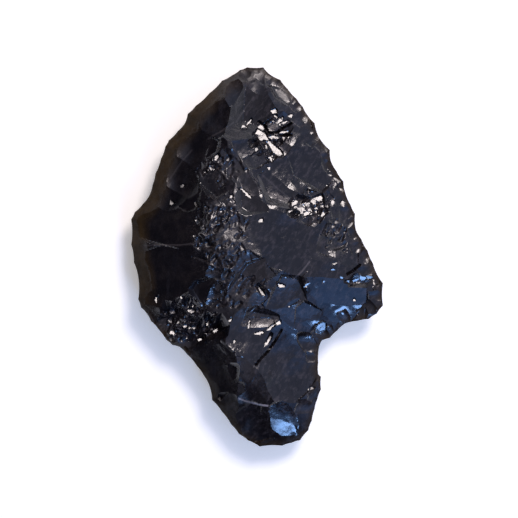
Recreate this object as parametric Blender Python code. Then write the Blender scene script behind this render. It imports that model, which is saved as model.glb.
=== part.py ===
"""A knapped obsidian projectile point, lying on its reverse face.

The stone is one solid, and each face is built the way a knapper makes it. It starts as a domed blank, then
one flake after another is struck off, and every flake leaves a long shallow scar. What is left of the face
is the lowest of the blank and all its scars, so neighbouring scars meet in sharp ridges.

Lengths are in millimetres until the mesh is made, which is in metres. +Y runs to the tip and +Z up, and the
origin is on the flat that the point rests on, under the middle of its outline.
"""

import math

import bpy
import numpy as np
from mathutils import Vector
from mathutils.geometry import delaunay_2d_cdt

MM = 0.001

# Driving dimensions, in millimetres.
EDGE_HEIGHT = 3.1  # of the cutting edge above the resting flat
EDGE_WANDER = 0.35  # how far the edge swings up and down along its length
FRONT_RISE = 4.7  # of the obverse above the edge
BACK_RISE = 3.9  # of the reverse below the edge; the resting flat cuts it
LEFT_REACH = 8.0  # how far in from the left edge the obverse keeps rising
RIGHT_REACH = 16.0  # the same from the right edge, so the crest runs left of the middle
BACK_REACH = 11.0  # the same on the reverse, from either edge
BACKED_EDGE = 1.7  # height of the blunt bevel along the left blade
BEVEL_SLOPE = 0.95  # of that bevel, and the steepest that any edge is
THIN_WEDGE = 0.2  # least slope of a face from its edge
HOLLOW = 0.16  # depth of a scar's trough for each mm of its half width
FACET_STEP = 0.85  # how much steeper than the facet the wall along each side of it is
FACET_HOLLOW = 0.055  # depth of a facet for each mm of its half width
STEP_SLOPE = 1.8  # of the broken wall where a flake snapped off
BITE = 0.04  # how far the edge between two cusps bows in, as a share of its length
RIDGE_WANDER = 0.28  # how far ridges stray from the straight lines of a perfect scar

FRONT_SPACING = 0.58  # between mesh points
BACK_SPACING = 0.72
RIDGE_ANGLE = math.radians(14)  # sharper edges than this are shaded sharp

# The cusps of the outline, clockwise from the blunt tip. The edge between two of them is one shallow bite.
TIP = [(-1.1, 21.1), (0.7, 21.1), (1.3, 20.4), (2.6, 19.7)]
RIGHT_BLADE = [
    (3.4, 18.7), (4.4, 17.6), (5.1, 16.7), (5.6, 15.8), (6.4, 14.9), (6.9, 13.3), (8.1, 11.9), (8.2, 10.7),
    (8.8, 9.6), (9.6, 8.4), (9.8, 7.2), (10.4, 5.8), (10.9, 4.8), (11.0, 3.0), (11.6, 2.0), (12.3, 0.7),
    (12.9, -0.7), (13.3, -1.8),
]
BARB = [(14.0, -2.9), (14.0, -5.4), (13.3, -6.3), (12.4, -6.9), (11.2, -7.1), (9.8, -7.4), (8.9, -8.2), (8.1, -9.0)]
RIGHT_STEM = [
    (7.2, -9.3), (6.9, -10.0), (6.8, -11.7), (6.8, -13.0), (7.1, -13.3), (7.1, -14.7), (6.7, -15.8),
    (6.4, -16.9), (6.1, -18.2), (5.7, -19.3),
]
BASE = [(4.8, -20.4), (3.8, -20.7), (2.8, -21.0), (0.3, -21.1)]
LEFT_STEM = [
    (-1.0, -20.4), (-2.0, -19.7), (-2.9, -18.6), (-3.9, -17.2), (-5.0, -15.9), (-5.3, -14.3), (-5.9, -13.2),
    (-6.7, -12.1), (-7.8, -10.8), (-8.6, -10.0),
]
LEFT_SHOULDER = [(-9.4, -9.8), (-10.1, -9.2), (-10.9, -8.1), (-11.8, -7.1), (-12.3, -6.2), (-12.9, -5.6)]
LEFT_BLADE = [
    (-13.2, -4.7), (-13.2, -2.3), (-13.7, -0.6), (-14.0, 1.4), (-14.0, 4.2), (-13.6, 5.0), (-12.7, 5.9),
    (-12.0, 6.8), (-11.6, 8.1), (-11.3, 9.3), (-10.7, 10.9), (-10.2, 12.3), (-9.8, 13.0), (-8.8, 14.0),
    (-8.0, 14.9), (-7.7, 15.9), (-6.8, 16.8), (-5.3, 18.2), (-3.9, 19.6), (-2.8, 20.2), (-1.9, 20.8),
]
RIGHT_SIDE = TIP + RIGHT_BLADE + BARB + RIGHT_STEM + BASE
LEFT_SIDE = LEFT_STEM + LEFT_SHOULDER + LEFT_BLADE

# Flakes struck from the edge of the obverse. Each has the point of the blow, the point where it ran out, half
# its width, and its depth. The first ones are the oldest and longest, and thinned the whole blade.
THINNING_FLAKES = [
    ((11.4, 2.6), (-4.6, 3.6), 3.6, 0.45),
    ((8.4, 10.4), (-0.2, 8.6), 3.0, 0.50),
    ((5.6, 15.8), (-2.6, 12.0), 2.8, 0.40),
    ((12.8, -0.9), (-3.0, -0.9), 3.2, 0.40),
    ((6.8, -11.6), (-4.6, -6.4), 2.8, 0.45),
    ((6.9, -12.8), (1.4, -9.6), 2.2, 0.70),
    ((-0.8, -20.6), (-0.6, -10.8), 2.3, 0.30),
    ((0.1, 21.2), (0.9, 15.4), 1.9, 0.25),
]
RIGHT_BLADE_FLAKES = [
    ((0.6, 21.2), (0.2, 19.4), 0.8, 0.10),
    ((1.7, 20.6), (0.9, 19.2), 0.7, 0.10),
    ((3.7, 18.4), (2.0, 18.2), 0.9, 0.12),
    ((5.1, 16.7), (3.2, 16.0), 1.0, 0.15),
    ((6.8, 13.9), (3.9, 12.4), 1.6, 0.20),
    ((8.3, 11.1), (5.6, 10.2), 1.3, 0.15),
    ((9.7, 7.9), (7.7, 7.9), 1.4, 0.12),
    ((10.6, 5.3), (8.2, 5.0), 1.2, 0.15),
    ((11.4, 2.4), (8.8, 2.6), 1.2, 0.15),
    ((12.4, 0.6), (9.2, 0.9), 1.3, 0.20),
    ((13.1, -1.2), (10.4, -0.9), 1.0, 0.12),
]
BARB_FLAKES = [
    ((10.4, -7.2), (6.0, -1.8), 3.4, 0.25),
    ((14.1, -4.6), (11.2, -4.6), 1.4, 0.15),
    ((12.4, -6.9), (10.6, -4.8), 1.4, 0.12),
    ((7.7, -9.1), (6.7, -7.4), 0.8, 0.15),
]
STEM_FLAKES = [
    ((6.8, -10.8), (4.3, -10.3), 1.1, 0.20),
    ((7.1, -14.5), (4.6, -14.1), 1.3, 0.20),
    ((6.4, -16.8), (4.4, -16.3), 1.0, 0.12),
    ((-1.2, -20.4), (-1.0, -16.1), 1.8, 0.45),
    ((-2.3, -19.2), (-0.9, -17.2), 1.2, 0.30),
    ((-4.4, -16.7), (-2.3, -15.7), 1.2, 0.30),
    ((-5.6, -14.1), (-1.9, -13.2), 1.5, 0.40),
    ((-6.6, -12.2), (-2.1, -11.3), 1.5, 0.45),
    ((-7.7, -10.8), (-3.9, -9.4), 1.3, 0.45),
]
LEFT_BLADE_FLAKES = [
    ((-9.7, -9.7), (-7.2, -7.9), 1.2, 0.35),
    ((-11.2, -7.8), (-8.0, -6.3), 1.3, 0.40),
    ((-12.8, -5.4), (-8.8, -4.6), 1.2, 0.40),
    ((-13.5, -1.2), (-5.4, -0.8), 2.5, 0.60),
    ((-14.0, 4.0), (-5.9, 4.1), 2.5, 0.60),
    ((-12.1, 6.8), (-7.4, 7.2), 1.2, 0.40),
    ((-11.2, 9.7), (-6.6, 9.6), 1.7, 0.50),
    ((-9.7, 13.0), (-4.9, 12.3), 1.8, 0.50),
    ((-6.3, 17.3), (-2.6, 14.4), 2.2, 0.50),
    ((-3.4, 19.9), (-1.6, 17.2), 1.4, 0.40),
    ((-1.3, 20.9), (-0.8, 19.2), 0.8, 0.25),
]
FRONT_FLAKES = THINNING_FLAKES + RIGHT_BLADE_FLAKES + BARB_FLAKES + STEM_FLAKES + LEFT_BLADE_FLAKES

# Flakes that broke out of the middle of the obverse, given in the same way.
INNER_FLAKES = [
    ((-5.8, -6.9), (1.5, -1.3), 3.0, 0.45),
    ((-3.0, 11.2), (-5.6, 7.4), 1.7, 0.40),
    ((-6.4, 1.6), (-3.4, -2.6), 1.3, 0.35),
    ((2.2, -1.9), (4.6, -4.8), 1.5, 0.35),
]

# Flat facets: middle, half length, half width, heading of the length, depth, slope, and the heading it slopes
# down to. Headings are in degrees round from +X.
FACETS = [
    ((-0.3, -3.4), 3.6, 2.2, 35, 0.15, 0.06, 210),
    ((3.4, -5.1), 2.8, 2.1, 80, 0.00, 0.20, -18),
    ((5.5, -7.0), 1.9, 1.5, 70, 0.02, 0.27, -32),
    ((9.2, -4.7), 4.0, 3.2, 120, 0.15, 0.36, -44),
    ((12.1, -2.2), 1.6, 0.7, 6, 0.08, 0.44, -66),
    ((12.9, -4.7), 1.7, 1.3, 90, 0.06, 0.16, -10),
    ((0.5, -7.6), 2.1, 1.4, 20, 0.03, 0.30, 60),
    ((-0.8, 8.2), 2.1, 1.1, -50, 0.15, 0.06, 80),
    ((-4.2, 9.0), 2.2, 1.8, 60, 0.15, 0.22, 175),
    ((0.9, 17.4), 3.0, 2.3, 70, 0.15, 0.12, 165),
    ((-0.4, 20.2), 1.0, 0.7, 10, 0.04, 0.30, 82),
    ((2.9, 18.2), 1.3, 0.8, -50, 0.08, 0.38, 50),
    ((3.0, -18.9), 2.8, 2.4, 60, 0.24, 0.40, -63),
    ((0.2, -13.4), 2.9, 2.0, 80, 0.06, 0.24, -80),
    ((-0.9, -17.8), 1.8, 1.4, 60, 0.00, 0.42, -102),
    ((9.0, 8.4), 2.2, 0.9, -65, 0.02, 0.36, 58),
    ((-9.8, -1.2), 4.3, 2.9, 5, 0.10, 0.50, 188),
    ((-9.9, 4.1), 4.3, 2.9, 0, 0.10, 0.50, 172),
    ((-7.4, 6.4), 1.5, 0.9, 50, 0.06, 0.45, 172),
    ((-5.2, 12.0), 1.1, 0.7, 60, 0.06, 0.42, 165),
    ((6.0, 10.6), 3.2, 2.1, -50, 0.12, 0.30, 8),
    ((4.0, 1.2), 3.6, 2.6, 10, 0.08, 0.22, 5),
    ((2.5, 7.9), 2.4, 1.3, -40, 0.10, 0.12, 20),
    ((0.3, 6.1), 2.3, 1.3, -15, 0.12, 0.06, 200),
    ((1.2, 12.7), 1.9, 0.6, -44, 0.15, 0.35, 56),
]

# Places where blow after blow stopped short and crushed the stone: middle, half extents, and number of chips.
CRUSHED_PLACES = [
    ((1.8, 13.2), (2.0, 2.6), 7),
    ((6.0, 5.6), (2.4, 1.6), 8),
    ((-3.8, 2.2), (3.2, 4.6), 20),
    ((-3.8, 9.6), (2.2, 1.8), 5),
    ((-8.0, -7.2), (3.8, 2.3), 12),
    ((-1.6, -4.0), (3.4, 2.2), 6),
    ((9.0, 2.0), (1.2, 2.4), 4),
]
CHIP_SIZE = 1.1
CHIP_SEED = 11

# The reverse is worked all round with flakes of about this pitch and length.
BACK_PITCH = 4.3
BACK_FLAKE = (6.0, 9.5)
BACK_SEED = 5


def edge_line(cusps, spacing):
    """Points about spacing apart from the first cusp up to the last, with each bite bowed inwards."""
    line = []
    for (ax, ay), (bx, by) in zip(cusps, cusps[1:]):
        pieces = max(1, round(math.hypot(bx - ax, by - ay) / spacing))
        for i in range(pieces):
            t = i / pieces
            bow = BITE * 4 * t * (1 - t)
            line.append((ax + (bx - ax) * t + (by - ay) * bow, ay + (by - ay) * t - (bx - ax) * bow))
    return np.array(line + cusps[-1:])


def outline(spacing):
    """The whole outline, anticlockwise, as points about spacing apart."""
    return edge_line(RIGHT_SIDE + LEFT_SIDE + RIGHT_SIDE[:1], spacing)[:0:-1]


def distance_to(line, x, y):
    """How far each point is from an open line."""
    nearest = np.full(x.shape, np.inf)
    for (ax, ay), (bx, by) in zip(line, line[1:]):
        ex, ey = bx - ax, by - ay
        t = np.clip(((x - ax) * ex + (y - ay) * ey) / (ex * ex + ey * ey), 0, 1)
        nearest = np.minimum(nearest, np.hypot(x - ax - t * ex, y - ay - t * ey))
    return nearest


def is_inside(loop, x, y):
    """Whether each point is inside a closed loop, by counting the sides to its right."""
    inside = np.zeros(x.shape, bool)
    for (ax, ay), (bx, by) in zip(loop, np.roll(loop, -1, axis=0)):
        if ay != by:
            spans = (ay > y) != (by > y)
            inside ^= spans & (x < ax + (y - ay) * (bx - ax) / (by - ay))
    return inside


def edge_height(x, y):
    """Height of the edge above the resting flat, as a surface that wanders up and down."""
    return EDGE_HEIGHT + EDGE_WANDER * np.sin(0.42 * y + 0.9) * np.cos(0.16 * x + 0.05 * y)


def edge_slopes(x, y):
    """How steeply that surface rises along x and along y."""
    nudge = 0.01
    rise_x = edge_height(x + nudge, y) - edge_height(x - nudge, y)
    rise_y = edge_height(x, y + nudge) - edge_height(x, y - nudge)
    return rise_x / (2 * nudge), rise_y / (2 * nudge)


def dome(t):
    """A quarter round: 0 at the edge, 1 and level from t = 1 on."""
    return 1 - (1 - np.minimum(t, 1)) ** 2


def backing(y):
    """Height of the left blade's blunt bevel, which fades out towards the tip and the shoulder."""
    return BACKED_EDGE * np.clip((y + 7) / 4, 0, 1) * np.clip((22 - y) / 7, 0, 1)


def front_blank(left, right, y):
    """Height of the unworked obverse at these distances from the left and the right edge."""
    bevel = backing(y)
    past_bevel = np.maximum(left - bevel / BEVEL_SLOPE, 0)
    from_left = bevel + (FRONT_RISE - bevel) * dome(past_bevel / LEFT_REACH)
    return np.minimum(from_left, FRONT_RISE * dome(right / RIGHT_REACH))


def back_blank(left, right, y):
    """Depth of the unworked reverse."""
    return BACK_RISE * dome(np.minimum(left, right) / BACK_REACH)


def wandered(x, y):
    """The points pushed about in slow waves, so that what is cut by them has lively ridges."""
    moved_x = x + RIDGE_WANDER * (np.sin(0.62 * y + 0.7) + 0.5 * np.sin(1.5 * y - 0.9 * x))
    moved_y = y + RIDGE_WANDER * (np.sin(0.55 * x + 2.0) + 0.5 * np.sin(1.3 * x + 0.8 * y))
    return moved_x, moved_y


class Scar:
    """The trough that one flake left: hollow across, with a broken wall where the flake snapped off."""

    def __init__(self, start, end, half_width, heights):
        self.start = start
        self.length = math.dist(start, end)
        self.along = ((end[0] - start[0]) / self.length, (end[1] - start[1]) / self.length)
        self.half_width = half_width
        self.heights = heights

    def height(self, x, y):
        x, y = wandered(x, y)
        dx, dy = x - self.start[0], y - self.start[1]
        forward = dx * self.along[0] + dy * self.along[1]
        sideways = dy * self.along[0] - dx * self.along[1]
        t = np.clip(forward / self.length, 0, 1)
        low, middle, high = self.heights
        floor = low + (4 * middle - 3 * low - high) * t + (2 * low + 2 * high - 4 * middle) * t * t
        side_walls = HOLLOW * sideways**2 / self.half_width
        past_end = np.hypot(forward, 0.5 * sideways) - self.length
        end_walls = STEP_SLOPE * np.maximum(np.maximum(past_end, -forward), 0)
        return floor + side_walls + end_walls


class Facet:
    """An eight-sided facet, very slightly hollow, with a steep broken wall along each side."""

    def __init__(self, middle, half_length, half_width, heading, floor, slope, downhill):
        self.middle = middle
        self.half_length, self.half_width = half_length, half_width
        self.along = (math.cos(heading), math.sin(heading))
        self.floor, self.step = floor, FACET_STEP + slope
        rise_x, rise_y = edge_slopes(*middle)
        self.falls = (slope * math.cos(downhill) + rise_x, slope * math.sin(downhill) + rise_y)
        chance = 1.7 * middle[0] + 2.3 * middle[1]
        turns = math.tau / 6 * np.arange(6) + 0.2 * np.sin(chance * np.arange(1, 7))
        across = np.array([np.cos(turns) / half_length, np.sin(turns) / half_width]) / (
            1 + 0.16 * np.sin(3 * turns + chance)
        )
        self.reaches = 1 / np.hypot(*across)
        self.sides = across * self.reaches

    def height(self, x, y):
        dx, dy = x - self.middle[0], y - self.middle[1]
        forward = dx * self.along[0] + dy * self.along[1]
        sideways = dy * self.along[0] - dx * self.along[1]
        past = [a * forward + b * sideways - reach for a, b, reach in zip(*self.sides, self.reaches)]
        past.append(np.abs(forward) - self.half_length)
        walls = self.step * np.maximum(np.maximum.reduce(past), 0)
        out = (forward / self.half_length) ** 2 + (sideways / self.half_width) ** 2
        hollow = FACET_HOLLOW * self.half_width * out
        return self.floor - self.falls[0] * dx - self.falls[1] * dy + hollow + walls


class Face:
    """One face of the point, as heights above the plane of its edge."""

    def __init__(self, blank):
        self.blank = blank
        self.left_line = edge_line(LEFT_SIDE + RIGHT_SIDE[:1], 1.0)
        self.right_line = edge_line(RIGHT_SIDE + LEFT_SIDE[:1], 1.0)
        self.cuts = []

    def layers(self, x, y):
        """Heights of every surface that could be the face: the steepest edge, the blank and the scars."""
        left, right = distance_to(self.left_line, x, y), distance_to(self.right_line, x, y)
        heights = [BEVEL_SLOPE * np.minimum(left, right), self.blank(left, right, y)]
        return heights + [cut.height(x, y) for cut in self.cuts]

    def height(self, x, y):
        left, right = distance_to(self.left_line, x, y), distance_to(self.right_line, x, y)
        return np.maximum(np.minimum.reduce(self.layers(x, y)), THIN_WEDGE * np.minimum(left, right))

    def scar(self, start, end, half_width, depths, from_blank=False):
        """The scar of one flake, so much below the blank or the worked face at its start, middle and end."""
        x, y = np.array([start, ((start[0] + end[0]) / 2, (start[1] + end[1]) / 2), end]).T
        if from_blank:
            surface = self.blank(distance_to(self.left_line, x, y), distance_to(self.right_line, x, y), y)
        else:
            surface = self.height(x, y)
        ends = np.transpose(wandered(x, y))
        return Scar(ends[0], ends[2], half_width, surface - depths)

    def facet(self, middle, half_length, half_width, heading, depth, slope, downhill):
        """One facet, so far below the worked face at its middle."""
        floor = self.height(*np.array([middle]).T)[0] - depth
        return Facet(middle, half_length, half_width, heading, floor, slope, downhill)

    def strike_edge(self, flakes):
        """Takes off flakes struck from the edge."""
        for start, end, half_width, depth in flakes:
            self.cuts.append(self.scar(start, end, half_width, depth * np.array([0.2, 1.0, 0.6]), True))

    def break_out(self, flakes):
        """Takes off flakes from the middle of the face."""
        for start, end, half_width, depth in flakes:
            self.cuts.append(self.scar(start, end, half_width, depth * np.array([0.9, 1.0, 0.5])))

    def cut_facets(self, facets):
        """Takes off flat facets."""
        for middle, half_length, half_width, heading, depth, slope, downhill in facets:
            turned = math.radians(heading), math.radians(downhill)
            self.cuts.append(self.facet(middle, half_length, half_width, turned[0], depth, slope, turned[1]))

    def crush(self, middle, extents, count, size, rng):
        """Breaks small chips at all angles out of one place, each from the face as it was before them."""
        chips = []
        for _ in range(count):
            turn, out, heading = rng.uniform(0, math.tau), math.sqrt(rng.uniform()), rng.uniform(0, math.tau)
            length, half_width = size * rng.uniform(0.9, 1.8), size * rng.uniform(0.5, 0.9)
            start = (
                middle[0] + extents[0] * out * math.cos(turn) - length / 2 * math.cos(heading),
                middle[1] + extents[1] * out * math.sin(turn) - length / 2 * math.sin(heading),
            )
            end = (start[0] + length * math.cos(heading), start[1] + length * math.sin(heading))
            chips.append(self.scar(start, end, half_width, size * rng.uniform(0.06, 0.22, 3)))
        self.cuts += chips

    def on_ridges(self, x, y, reach):
        """The points, with those within reach of a ridge moved onto it."""
        nudge = 1e-3
        here, east, north = (np.array(self.layers(x + dx, y + dy)) for dx, dy in ((0, 0), (nudge, 0), (0, nudge)))
        first, second = np.argsort(here, axis=0)[:2]
        row = np.arange(len(x))
        gap = here[second, row] - here[first, row]
        slope_x = (east[second, row] - east[first, row] - gap) / nudge
        slope_y = (north[second, row] - north[first, row] - gap) / nudge
        step = -gap / (slope_x**2 + slope_y**2 + 1e-12)
        near = np.abs(step) * np.hypot(slope_x, slope_y) < reach
        return x + np.where(near, step * slope_x, 0), y + np.where(near, step * slope_y, 0)


def back_flakes():
    """Flakes struck at even steps all round the reverse, each towards the middle line."""
    rng = np.random.default_rng(BACK_SEED)
    loop = outline(0.5)
    flakes = []
    for i in np.arange(0, len(loop), BACK_PITCH / 0.5).astype(int):
        ahead, behind = loop[(i + 4) % len(loop)], loop[i - 4]
        inward = math.atan2(ahead[1] - behind[1], ahead[0] - behind[0]) + math.pi / 2 + rng.uniform(-0.3, 0.3)
        length = rng.uniform(*BACK_FLAKE)
        end = (loop[i][0] + length * math.cos(inward), loop[i][1] + length * math.sin(inward))
        flakes.append((tuple(loop[i]), end, BACK_PITCH * rng.uniform(0.5, 0.75), rng.uniform(0.55, 0.95)))
    return flakes


def lattice(loop, spacing):
    """Points of a triangular grid that lie inside the outline and clear of it."""
    low, high = loop.min(axis=0), loop.max(axis=0)
    x, y = np.meshgrid(
        np.arange(low[0], high[0], spacing), np.arange(low[1], high[1], spacing * math.sqrt(3) / 2)
    )
    x[1::2] += spacing / 2
    x, y = x.ravel(), y.ravel()
    inside = is_inside(loop, x, y)
    x, y = x[inside], y[inside]
    clear = distance_to(np.vstack([loop, loop[:1]]), x, y) > 0.6 * spacing
    return x[clear], y[clear]


def stone_mesh(front, back):
    """Both faces as one closed mesh, sewn along the edge."""
    loop = outline(FRONT_SPACING)
    points = [(px, py, edge_height(px, py)) for px, py in loop]
    triangles = []
    for face, spacing, up in ((front, FRONT_SPACING, 1), (back, BACK_SPACING, -1)):
        x, y = face.on_ridges(*lattice(loop, spacing), 0.45 * spacing)
        flat = [Vector(p) for p in loop] + [Vector(p) for p in zip(x, y)]
        _, _, found, source, _, _ = delaunay_2d_cdt(flat, [], [list(range(len(loop)))], 1, 1e-7)
        shift = len(points) - len(loop)
        for corners in found:
            named = [source[c][0] for c in corners[::up]]
            triangles.append([c if c < len(loop) else c + shift for c in named])
        z = np.maximum(edge_height(x, y) + up * face.height(x, y), 0)
        points += list(zip(x, y, z))
    mesh = bpy.data.meshes.new("obsidian_point")
    mesh.from_pydata([(px * MM, py * MM, pz * MM) for px, py, pz in points], [], triangles)
    mesh.validate()
    return mesh


def obsidian():
    """Black volcanic glass."""
    material = bpy.data.materials.new("obsidian")
    material.use_nodes = True
    shader = material.node_tree.nodes["Principled BSDF"]
    shader.inputs["Base Color"].default_value = (0.012, 0.012, 0.016, 1)
    shader.inputs["Roughness"].default_value = 0.12
    shader.inputs["IOR"].default_value = 1.49
    return material


def worked_faces():
    """The obverse and the reverse, with every flake off."""
    front = Face(front_blank)
    front.strike_edge(FRONT_FLAKES)
    front.break_out(INNER_FLAKES)
    rng = np.random.default_rng(CHIP_SEED)
    for middle, extents, count in CRUSHED_PLACES:
        front.crush(middle, extents, count, CHIP_SIZE, rng)
    front.cut_facets(FACETS)
    back = Face(back_blank)
    back.strike_edge(back_flakes())
    return front, back


def main():
    for old in list(bpy.data.objects):
        bpy.data.objects.remove(old, do_unlink=True)
    mesh = stone_mesh(*worked_faces())
    mesh.materials.append(obsidian())
    mesh.shade_smooth()
    mesh.set_sharp_from_angle(angle=RIDGE_ANGLE)
    point = bpy.data.objects.new("obsidian_point", mesh)
    bpy.context.scene.collection.objects.link(point)


main()
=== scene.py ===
"""The looks of a knapped obsidian projectile point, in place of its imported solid.

The solid has the outline, the blank's dome, the flake scars and the broad facets. Here the same faces are
made again from the same values on a fine mesh, and then get what the solid is too coarse for: ripples in
the scars, fine chips, small facets that catch the light, cracks and the nibbled edge. Lengths are in
millimetres until the mesh is made. Slopes are rises over runs.
"""

import math

import bpy
import numpy as np
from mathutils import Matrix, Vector
from mathutils.geometry import delaunay_2d_cdt


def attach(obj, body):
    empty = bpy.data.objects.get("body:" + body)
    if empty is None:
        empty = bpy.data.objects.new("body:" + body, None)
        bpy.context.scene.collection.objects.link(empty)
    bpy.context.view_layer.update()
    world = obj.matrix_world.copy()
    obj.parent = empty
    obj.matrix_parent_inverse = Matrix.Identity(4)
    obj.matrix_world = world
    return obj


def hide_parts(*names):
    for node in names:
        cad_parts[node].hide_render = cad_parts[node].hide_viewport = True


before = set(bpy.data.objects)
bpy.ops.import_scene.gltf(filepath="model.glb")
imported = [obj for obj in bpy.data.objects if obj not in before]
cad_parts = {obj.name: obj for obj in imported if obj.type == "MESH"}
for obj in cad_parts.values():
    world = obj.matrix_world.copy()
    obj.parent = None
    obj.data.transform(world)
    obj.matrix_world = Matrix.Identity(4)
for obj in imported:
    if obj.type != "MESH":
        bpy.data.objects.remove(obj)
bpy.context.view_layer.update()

MM = 0.001

# Driving dimensions, in millimetres.
EDGE_HEIGHT = 3.1  # of the cutting edge above the resting flat
EDGE_WANDER = 0.35  # how far the edge swings up and down along its length
FRONT_RISE = 4.7  # of the obverse above the edge
BACK_RISE = 3.9  # of the reverse below the edge; the resting flat cuts it
LEFT_REACH = 8.0  # how far in from the left edge the obverse keeps rising
RIGHT_REACH = 16.0  # the same from the right edge, so the crest runs left of the middle
BACK_REACH = 11.0  # the same on the reverse, from either edge
BACKED_EDGE = 1.7  # height of the blunt bevel along the left blade
BACKED_SPAN = (-7, 22)  # from where to where along y the bevel runs
BACKED_FADE = (4, 7)  # the length over which it fades out, at its shoulder end and at its tip end
BEVEL_SLOPE = 0.95  # of that bevel, and the steepest that any edge is
THIN_WEDGE = 0.08  # least slope of a face from its edge, which can be less here than in the solid
HOLLOW = 0.16  # depth of a scar's trough for each mm of its half width
END_CURVE = 0.5  # share of the sideways distance that counts at a scar's end; less makes it blunter
RIPPLE_CURVE = 0.8  # the same for its ripples
FACET_SIDES = 6
FACET_JITTER = (0.2, 0.16)  # how far they stray: in heading, in radians, and in distance, as a share
FACET_STEP = 0.85  # how much steeper than the facet the wall along each side of it is
FACET_HOLLOW = 0.055  # depth of a facet for each mm of its half width
STEP_SLOPE = 1.8  # of the broken wall where a flake snapped off
BITE = 0.04  # how far the edge between two cusps bows in, as a share of its length
RIDGE_WANDER = 0.28  # how far ridges stray from the straight lines of a perfect scar
FLAKE_PROFILE = (0.2, 1.0, 0.6)  # shares of an edge flake's depth at its start, middle and end
INNER_PROFILE = (0.9, 1.0, 0.5)  # the same for a flake that broke out of the middle of a face

FRONT_SPACING = 0.12  # between mesh points
BACK_SPACING = 0.22
EDGE_CLEARANCE = 0.6  # how far the points inside stay from the edge, as a share of their spacing
RIDGE_PULL = 0.45  # how near to a ridge a point has to be to be moved onto it, as the same share
RIDGE_ANGLE = math.radians(14)  # sharper edges than this are shaded sharp

# The cusps of the outline, clockwise from the blunt tip. The edge between two of them is one shallow bite.
TIP = [(-1.1, 21.1), (0.7, 21.1), (1.3, 20.4), (2.6, 19.7)]
RIGHT_BLADE = [
    (3.4, 18.7), (4.4, 17.6), (5.1, 16.7), (5.6, 15.8), (6.4, 14.9), (6.9, 13.3), (8.1, 11.9), (8.2, 10.7),
    (8.8, 9.6), (9.6, 8.4), (9.8, 7.2), (10.4, 5.8), (10.9, 4.8), (11.0, 3.0), (11.6, 2.0), (12.3, 0.7),
    (12.9, -0.7), (13.3, -1.8),
]
BARB = [
    (14.0, -2.9), (14.0, -5.4), (13.3, -6.3), (12.4, -6.9), (11.2, -7.1), (9.8, -7.4), (8.9, -8.2),
    (8.1, -9.0),
]
RIGHT_STEM = [
    (7.2, -9.3), (6.9, -10.0), (6.8, -11.7), (6.8, -13.0), (7.1, -13.3), (7.1, -14.7), (6.7, -15.8),
    (6.4, -16.9), (6.1, -18.2), (5.7, -19.3),
]
BASE = [(4.8, -20.4), (3.8, -20.7), (2.8, -21.0), (0.3, -21.1)]
LEFT_STEM = [
    (-1.0, -20.4), (-2.0, -19.7), (-2.9, -18.6), (-3.9, -17.2), (-5.0, -15.9), (-5.3, -14.3), (-5.9, -13.2),
    (-6.7, -12.1), (-7.8, -10.8), (-8.6, -10.0),
]
LEFT_SHOULDER = [(-9.4, -9.8), (-10.1, -9.2), (-10.9, -8.1), (-11.8, -7.1), (-12.3, -6.2), (-12.9, -5.6)]
LEFT_BLADE = [
    (-13.2, -4.7), (-13.2, -2.3), (-13.7, -0.6), (-14.0, 1.4), (-14.0, 4.2), (-13.6, 5.0), (-12.7, 5.9),
    (-12.0, 6.8), (-11.6, 8.1), (-11.3, 9.3), (-10.7, 10.9), (-10.2, 12.3), (-9.8, 13.0), (-8.8, 14.0),
    (-8.0, 14.9), (-7.7, 15.9), (-6.8, 16.8), (-5.3, 18.2), (-3.9, 19.6), (-2.8, 20.2), (-1.9, 20.8),
]
RIGHT_SIDE = TIP + RIGHT_BLADE + BARB + RIGHT_STEM + BASE
LEFT_SIDE = LEFT_STEM + LEFT_SHOULDER + LEFT_BLADE

# Flakes struck from the edge of the obverse. Each has the point of the blow, the point where it ran out,
# half its width, and its depth. The first ones are the oldest and longest, and thinned the whole blade.
THINNING_FLAKES = [
    ((11.4, 2.6), (-4.6, 3.6), 3.6, 0.45),
    ((8.4, 10.4), (-0.2, 8.6), 3.0, 0.50),
    ((5.6, 15.8), (-2.6, 12.0), 2.8, 0.40),
    ((12.8, -0.9), (-3.0, -0.9), 3.2, 0.40),
    ((6.8, -11.6), (-4.6, -6.4), 2.8, 0.45),
    ((6.9, -12.8), (1.4, -9.6), 2.2, 0.70),
    ((-0.8, -20.6), (-0.6, -10.8), 2.3, 0.30),
    ((0.1, 21.2), (0.9, 15.4), 1.9, 0.25),
]
RIGHT_BLADE_FLAKES = [
    ((0.6, 21.2), (0.2, 19.4), 0.8, 0.10),
    ((1.7, 20.6), (0.9, 19.2), 0.7, 0.10),
    ((3.7, 18.4), (2.0, 18.2), 0.9, 0.12),
    ((5.1, 16.7), (3.2, 16.0), 1.0, 0.15),
    ((6.8, 13.9), (3.9, 12.4), 1.6, 0.20),
    ((8.3, 11.1), (5.6, 10.2), 1.3, 0.15),
    ((9.7, 7.9), (7.7, 7.9), 1.4, 0.12),
    ((10.6, 5.3), (8.2, 5.0), 1.2, 0.15),
    ((11.4, 2.4), (8.8, 2.6), 1.2, 0.15),
    ((12.4, 0.6), (9.2, 0.9), 1.3, 0.20),
    ((13.1, -1.2), (10.4, -0.9), 1.0, 0.12),
]
BARB_FLAKES = [
    ((10.4, -7.2), (6.0, -1.8), 3.4, 0.25),
    ((14.1, -4.6), (11.2, -4.6), 1.4, 0.15),
    ((12.4, -6.9), (10.6, -4.8), 1.4, 0.12),
    ((7.7, -9.1), (6.7, -7.4), 0.8, 0.15),
]
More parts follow.
